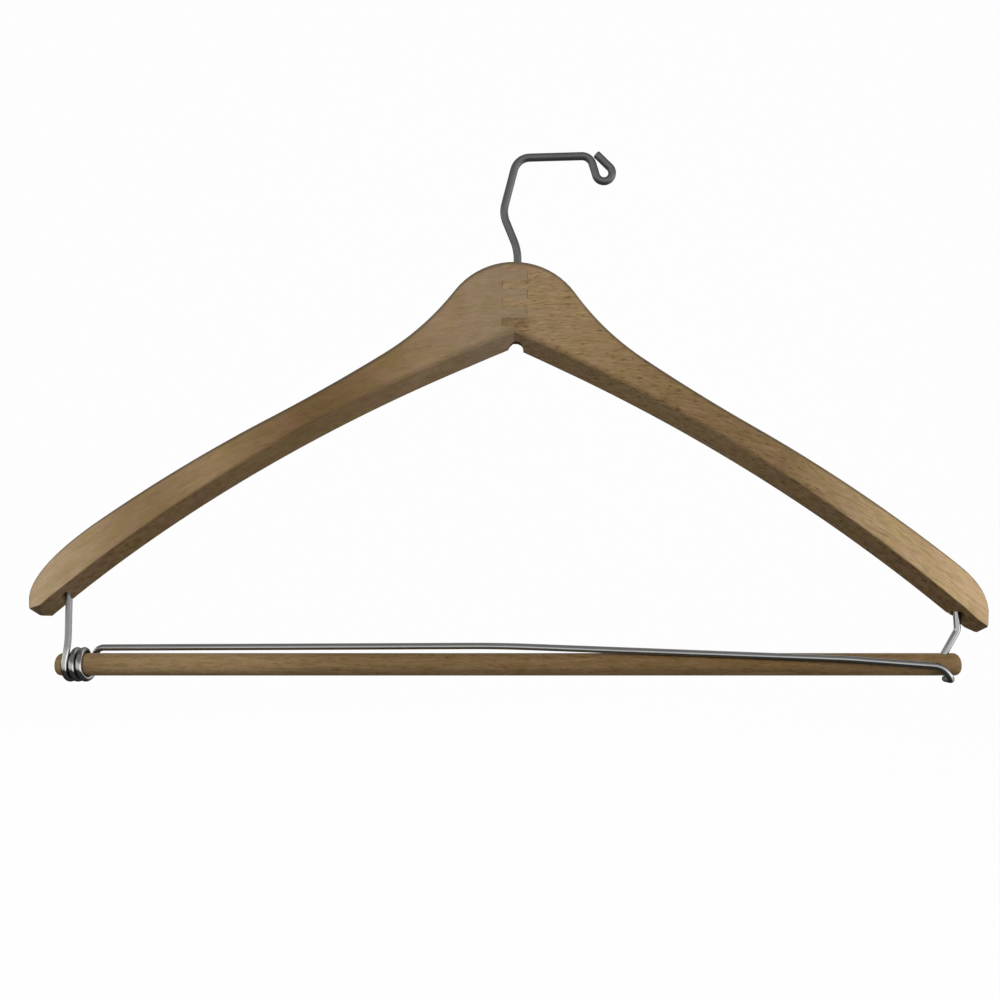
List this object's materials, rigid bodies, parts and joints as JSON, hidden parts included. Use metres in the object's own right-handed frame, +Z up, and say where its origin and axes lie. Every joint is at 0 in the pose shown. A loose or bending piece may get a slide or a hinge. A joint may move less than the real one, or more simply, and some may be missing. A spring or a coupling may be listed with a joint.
{
  "type": "trouser hanger",
  "caption": "Wooden clothes hanger with a swivel wire hook and a round trouser bar with a wire that locks over it.",
  "frame": {"origin": "on the hook's swivel axis, level with the underside of its flat top, where a closet rail carries the hanger", "axes": "+X to the right along the shoulders as seen from the front, +Y towards the back, +Z up"},
  "size_m": [0.4242, 0.017, 0.2432],
  "materials": {
    "beech": "satin lacquered beech",
    "beech_bar": "satin lacquered beech dowel",
    "hook_steel": "dull drawn steel wire",
    "spring_steel": "bright plated spring wire"
  },
  "bodies": {
    "hook": {"swivel_hook": "hook_steel"},
    "frame": {"left_arm": "beech", "right_arm": "beech", "hook_washer": "hook_steel", "trouser_bar": "beech_bar", "spring_wire": "spring_steel", "link_wire": "spring_steel"},
    "lock": {"lock_wire": "spring_steel"}
  },
  "joints": [
    {"name": "hook_swivel", "type": "hinge", "parent": "hook", "child": "frame", "pos_m": [0, 0, 0], "axis": [0, 0, 1], "continuous": true},
    {"name": "lock_swing", "type": "hinge", "parent": "frame", "child": "lock", "pos_m": [-0.18937, 0.0064, -0.23047], "axis": [0.0192, 0, -0.9998], "range_deg": [0, 35], "stiffness_Nm_per_rad": 1.8}
  ]
}
